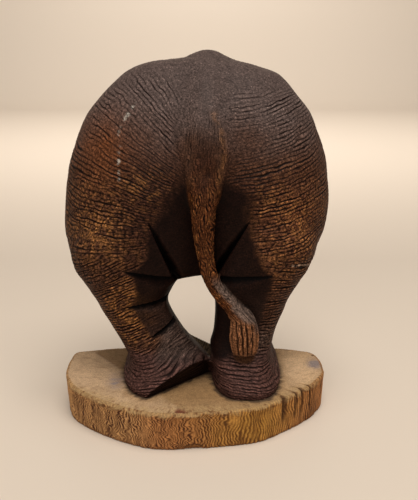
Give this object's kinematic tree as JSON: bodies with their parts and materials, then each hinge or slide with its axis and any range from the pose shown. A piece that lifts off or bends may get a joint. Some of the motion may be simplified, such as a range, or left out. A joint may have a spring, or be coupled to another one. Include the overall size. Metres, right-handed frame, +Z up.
{
  "type": "carved wooden elephant hindquarters on a log slab",
  "caption": "Rear half of an elephant carved in dark-stained wood, flat at the back, standing on a half-round slab of log; a shelf ornament or bookend.",
  "frame": {"origin": "middle of the whole object's outline, on the surface that it stands on", "axes": "+Z up, +Y towards the flat back, -Y towards the carved side with the tail, +X to the right as seen from the carved side"},
  "size_m": [0.171, 0.0846, 0.225],
  "materials": {
    "stained_wood": "dark stain over carved skin wrinkles, dull, worn to golden brown on the high places",
    "bare_wood": "unfinished end grain above, rough sawn and gouged side"
  },
  "bodies": {
    "root": {"elephant_hindquarters": "stained_wood", "log_slab": "bare_wood"}
  },
  "joints": []
}
